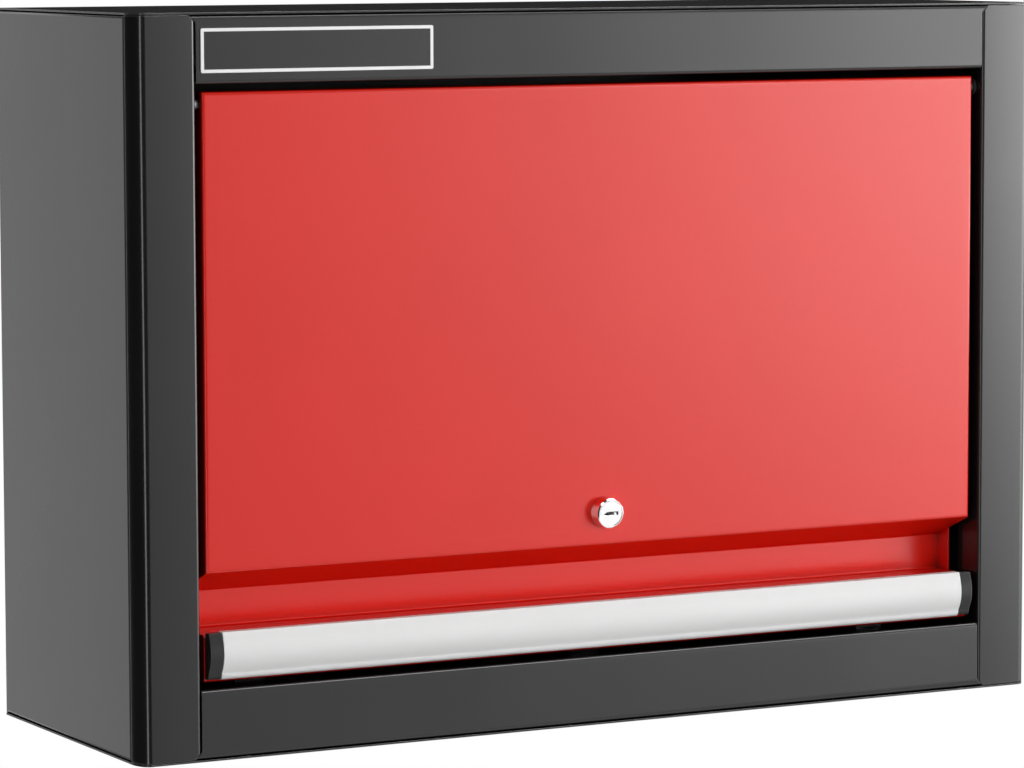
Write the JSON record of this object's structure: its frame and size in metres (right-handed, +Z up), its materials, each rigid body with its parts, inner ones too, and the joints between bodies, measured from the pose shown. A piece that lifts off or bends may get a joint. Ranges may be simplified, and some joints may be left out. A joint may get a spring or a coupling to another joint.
{
  "type": "wall cabinet",
  "caption": "Sheet-steel wall cabinet with a top-hinged flap door, a full-width handle, a cylinder lock driving a sliding bar, gas struts and a shelf.",
  "frame": {"origin": "middle of the back panel's outer face, which lies on the wall", "axes": "+X to the right seen from the front, +Y into the wall, +Z up; the front faces -Y"},
  "size_m": [0.71, 0.2461, 0.5],
  "materials": {
    "dark_paint": "semi-gloss powder coat, anthracite",
    "grey_paint": "satin powder coat, mid grey",
    "red_paint": "semi-gloss powder coat, signal red",
    "aluminium": "satin anodised extrusion",
    "chrome": "polished",
    "zinc": "bright zinc plating",
    "cap_plastic": "fine-textured moulded plastic",
    "rubber": "matt black rubber",
    "nylon": "black nylon",
    "strut_paint": "gloss black enamel",
    "badge": "blank plate with a raised pale rim"
  },
  "bodies": {
    "casing": {"top_panel": "dark_paint", "bottom_panel": "dark_paint", "back_panel": "dark_paint", "hanging_rail": "dark_paint", "top_rail": "dark_paint", "bottom_rail": "dark_paint", "badge_plate": "badge", "shelf": "grey_paint", "lock_keeper": "zinc", "post_left": "dark_paint", "post_right": "dark_paint", "side_panel_left": "grey_paint", "side_panel_right": "grey_paint", "shelf_support_left": "zinc", "shelf_support_right": "zinc", "shelf_screw_left_front": "zinc", "shelf_screw_left_rear": "zinc", "shelf_screw_right_front": "zinc", "shelf_screw_right_rear": "zinc", "hinge_bush_left": "nylon", "hinge_bush_right": "nylon", "strut_bracket_left": "zinc", "strut_bracket_right": "zinc", "strut_stud_left": "zinc", "strut_stud_right": "zinc", "door_stop_left": "zinc", "door_stop_right": "zinc", "buffer_left": "rubber", "buffer_right": "rubber"},
    "door": {"door_skin": "red_paint", "door_stiffener_left": "red_paint", "door_stiffener_right": "red_paint", "handle_profile": "aluminium", "handle_cap_left": "cap_plastic", "handle_cap_right": "cap_plastic", "handle_screw_left": "zinc", "handle_screw_right": "zinc", "hinge_pin_left": "zinc", "hinge_pin_right": "zinc", "strut_ear_left": "zinc", "strut_ear_right": "zinc", "door_stud_left": "zinc", "door_stud_right": "zinc", "bar_guide_upper": "zinc", "bar_guide_lower": "zinc", "lock_housing": "chrome", "lock_nut": "zinc"},
    "plug": {"lock_plug": "chrome", "lock_cam": "zinc", "cam_screw": "zinc"},
    "bar": {"lock_bar": "zinc"},
    "strut_left_cylinder": {"strut_left_tube_end": "cap_plastic", "strut_left_tube": "strut_paint"},
    "strut_left_piston": {"strut_left_rod": "chrome", "strut_left_rod_end": "cap_plastic"},
    "strut_right_cylinder": {"strut_right_tube_end": "cap_plastic", "strut_right_tube": "strut_paint"},
    "strut_right_piston": {"strut_right_rod": "chrome", "strut_right_rod_end": "cap_plastic"}
  },
  "joints": [
    {"name": "door_hinge", "type": "hinge", "parent": "casing", "child": "door", "pos_m": [0, -0.2275, 0.1895], "axis": [-1, 0, 0], "range_deg": [0, 90]},
    {"name": "lock_turn", "type": "hinge", "parent": "door", "child": "plug", "pos_m": [0, -0.2365, -0.101], "axis": [0, 1, 0], "range_deg": [0, 90]},
    {"name": "lock_bar_slide", "type": "slide", "parent": "door", "child": "bar", "axis": [0, 0, -1], "range_m": [0, 0.01414]},
    {"name": "strut_left_swing", "type": "hinge", "parent": "casing", "child": "strut_left_cylinder", "pos_m": [-0.29, -0.1575, -0.0785], "axis": [1, 0, 0], "range_deg": [0, 17.1]},
    {"name": "strut_left_stroke", "type": "slide", "parent": "strut_left_cylinder", "child": "strut_left_piston", "axis": [0, -0.2474, 0.9689], "range_m": [0, 0.0941]},
    {"name": "strut_right_swing", "type": "hinge", "parent": "casing", "child": "strut_right_cylinder", "pos_m": [0.29, -0.1575, -0.0785], "axis": [1, 0, 0], "range_deg": [0, 17.1]},
    {"name": "strut_right_stroke", "type": "slide", "parent": "strut_right_cylinder", "child": "strut_right_piston", "axis": [0, -0.2474, 0.9689], "range_m": [0, 0.0941]}
  ],
  "couplings": [
    {"joint": "lock_turn", "follows": "lock_bar_slide", "rad_per_m": 111.07},
    {"joint": "strut_left_swing", "follows": "door_hinge", "ratio": 0.18945},
    {"joint": "strut_left_stroke", "follows": "door_hinge", "m_per_rad": 0.059902},
    {"joint": "strut_right_swing", "follows": "door_hinge", "ratio": 0.18945},
    {"joint": "strut_right_stroke", "follows": "door_hinge", "m_per_rad": 0.059902}
  ]
}
